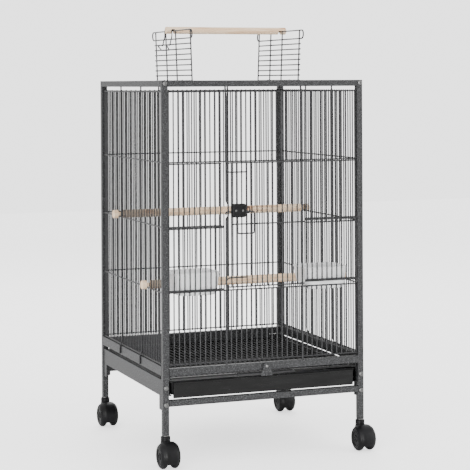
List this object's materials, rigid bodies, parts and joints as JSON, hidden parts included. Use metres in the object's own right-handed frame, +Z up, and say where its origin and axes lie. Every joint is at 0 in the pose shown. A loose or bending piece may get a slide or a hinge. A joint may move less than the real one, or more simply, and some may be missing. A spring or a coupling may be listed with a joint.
{
  "type": "bird cage on stand",
  "caption": "Square wire bird cage on a caster stand, with hinged front door, sliding feeder doors, cups, perches, grate, pull-out tray and opening roof doors.",
  "frame": {"origin": "on the floor under the centre of the overall box, casters trailing to the front included; the tube frame's own centre is 17.5 mm behind it", "axes": "+Z up, -Y towards the front with the door, +X to the viewer's right when facing the front"},
  "size_m": [0.4632, 0.4782, 0.876],
  "materials": {
    "frame_paint": "hammered dark charcoal powder coat",
    "wire_coat": "satin black powder coat",
    "black_plastic": "moulded, slightly glossy",
    "cup_plastic": "milky white, smooth",
    "perch_wood": "bare sanded softwood dowel",
    "zinc": "bright zinc plate"
  },
  "bodies": {
    "cage": {"front_left_post": "frame_paint", "front_right_post": "frame_paint", "back_left_post": "frame_paint", "back_right_post": "frame_paint", "front_top_rail": "frame_paint", "front_upper_rail": "frame_paint", "front_lower_rail": "frame_paint", "back_top_rail": "frame_paint", "back_upper_rail": "frame_paint", "back_lower_rail": "frame_paint", "left_top_rail": "frame_paint", "right_top_rail": "frame_paint", "left_side_rail": "frame_paint", "right_side_rail": "frame_paint", "left_tray_runner": "frame_paint", "right_tray_runner": "frame_paint", "left_lower_bolt": "zinc", "left_middle_bolt": "zinc", "left_top_bolt": "zinc", "right_lower_bolt": "zinc", "right_middle_bolt": "zinc", "right_top_bolt": "zinc", "left_grille": "wire_coat", "right_grille": "wire_coat", "back_grille": "wire_coat", "front_grille_upper": "wire_coat", "front_grille_lower": "wire_coat", "front_grille_left": "wire_coat", "front_grille_right": "wire_coat", "top_grille": "wire_coat", "hinge_rod": "wire_coat", "keeper_rod": "wire_coat", "upper_perch": "perch_wood", "lower_perch": "perch_wood", "front_left_caster_stem": "zinc", "front_right_caster_stem": "zinc", "back_left_caster_stem": "zinc", "back_right_caster_stem": "zinc"},
    "front_door": {"main_door": "wire_coat", "latch_block": "black_plastic"},
    "latch": {"latch_bolt": "wire_coat"},
    "left_feeder": {"left_feeder_door": "wire_coat"},
    "right_feeder": {"right_feeder_door": "wire_coat"},
    "left_food_cup": {"left_cup": "cup_plastic"},
    "right_food_cup": {"right_cup": "cup_plastic"},
    "stand_perch": {"top_perch": "perch_wood"},
    "left_roof_door": {"left_top_door": "wire_coat"},
    "right_roof_door": {"right_top_door": "wire_coat"},
    "roof_hook": {"top_door_hook": "wire_coat"},
    "grate": {"floor_grate": "wire_coat"},
    "catch": {"grate_catch": "frame_paint"},
    "tray": {"tray": "black_plastic"},
    "front_left_swivel": {"front_left_caster_housing": "black_plastic"},
    "front_left_wheels": {"front_left_caster_wheels": "black_plastic"},
    "front_right_swivel": {"front_right_caster_housing": "black_plastic"},
    "front_right_wheels": {"front_right_caster_wheels": "black_plastic"},
    "back_left_swivel": {"back_left_caster_housing": "black_plastic"},
    "back_left_wheels": {"back_left_caster_wheels": "black_plastic"},
    "back_right_swivel": {"back_right_caster_housing": "black_plastic"},
    "back_right_wheels": {"back_right_caster_wheels": "black_plastic"}
  },
  "joints": [
    {"name": "front_door_hinge", "type": "hinge", "parent": "cage", "child": "front_door", "pos_m": [0.0825, -0.19715, 0.47], "axis": [0, 0, 1], "range_deg": [0, 150]},
    {"name": "latch_slide", "type": "slide", "parent": "front_door", "child": "latch", "axis": [1, 0, 0], "range_m": [0, 0.009]},
    {"name": "left_feeder_slide", "type": "slide", "parent": "cage", "child": "left_feeder", "axis": [0, 0, 1], "range_m": [0, 0.11]},
    {"name": "right_feeder_slide", "type": "slide", "parent": "cage", "child": "right_feeder", "axis": [0, 0, 1], "range_m": [0, 0.1]},
    {"name": "left_cup_lift", "type": "slide", "parent": "cage", "child": "left_food_cup", "axis": [0, 0, 1], "range_m": [0, 0.06]},
    {"name": "right_cup_lift", "type": "slide", "parent": "cage", "child": "right_food_cup", "axis": [0, 0, 1], "range_m": [0, 0.06]},
    {"name": "perch_lift", "type": "slide", "parent": "cage", "child": "stand_perch", "axis": [0, 0, 1], "range_m": [0, 0.4]},
    {"name": "left_roof_door_hinge", "type": "hinge", "parent": "cage", "child": "left_roof_door", "pos_m": [-0.12, 0.0175, 0.75565], "axis": [0, 1, 0], "range_deg": [0, 90]},
    {"name": "right_roof_door_hinge", "type": "hinge", "parent": "cage", "child": "right_roof_door", "pos_m": [0.12, 0.0175, 0.75565], "axis": [0, -1, 0], "range_deg": [0, 90]},
    {"name": "roof_hook_swing", "type": "hinge", "parent": "left_roof_door", "child": "roof_hook", "pos_m": [-0.12389, 0.0175, 0.86708], "axis": [0, 1, 0], "range_deg": [0, 100]},
    {"name": "grate_slide", "type": "slide", "parent": "cage", "child": "grate", "axis": [0, -1, 0], "range_m": [0, 0.2]},
    {"name": "grate_catch_turn", "type": "hinge", "parent": "grate", "child": "catch", "pos_m": [0, -0.2063, 0.186], "axis": [0, -1, 0], "range_deg": [-90, 90]},
    {"name": "tray_slide", "type": "slide", "parent": "cage", "child": "tray", "axis": [0, -1, 0], "range_m": [0, 0.4]},
    {"name": "front_left_caster_swivel", "type": "hinge", "parent": "cage", "child": "front_left_swivel", "pos_m": [-0.21165, -0.19415, 0.06], "axis": [0, 0, 1], "continuous": true},
    {"name": "front_left_wheel_spin", "type": "hinge", "parent": "front_left_swivel", "child": "front_left_wheels", "pos_m": [-0.21165, -0.21115, 0.025], "axis": [1, 0, 0], "continuous": true},
    {"name": "front_right_caster_swivel", "type": "hinge", "parent": "cage", "child": "front_right_swivel", "pos_m": [0.21165, -0.19415, 0.06], "axis": [0, 0, 1], "continuous": true},
    {"name": "front_right_wheel_spin", "type": "hinge", "parent": "front_right_swivel", "child": "front_right_wheels", "pos_m": [0.21165, -0.21115, 0.025], "axis": [1, 0, 0], "continuous": true},
    {"name": "back_left_caster_swivel", "type": "hinge", "parent": "cage", "child": "back_left_swivel", "pos_m": [-0.21165, 0.22915, 0.06], "axis": [0, 0, 1], "continuous": true},
    {"name": "back_left_wheel_spin", "type": "hinge", "parent": "back_left_swivel", "child": "back_left_wheels", "pos_m": [-0.21165, 0.21215, 0.025], "axis": [1, 0, 0], "continuous": true},
    {"name": "back_right_caster_swivel", "type": "hinge", "parent": "cage", "child": "back_right_swivel", "pos_m": [0.21165, 0.22915, 0.06], "axis": [0, 0, 1], "continuous": true},
    {"name": "back_right_wheel_spin", "type": "hinge", "parent": "back_right_swivel", "child": "back_right_wheels", "pos_m": [0.21165, 0.21215, 0.025], "axis": [1, 0, 0], "continuous": true}
  ],
  "couplings": [
    {"joint": "left_roof_door_hinge", "follows": "perch_lift", "rad_per_m": 3.92},
    {"joint": "right_roof_door_hinge", "follows": "perch_lift", "rad_per_m": 3.92}
  ]
}
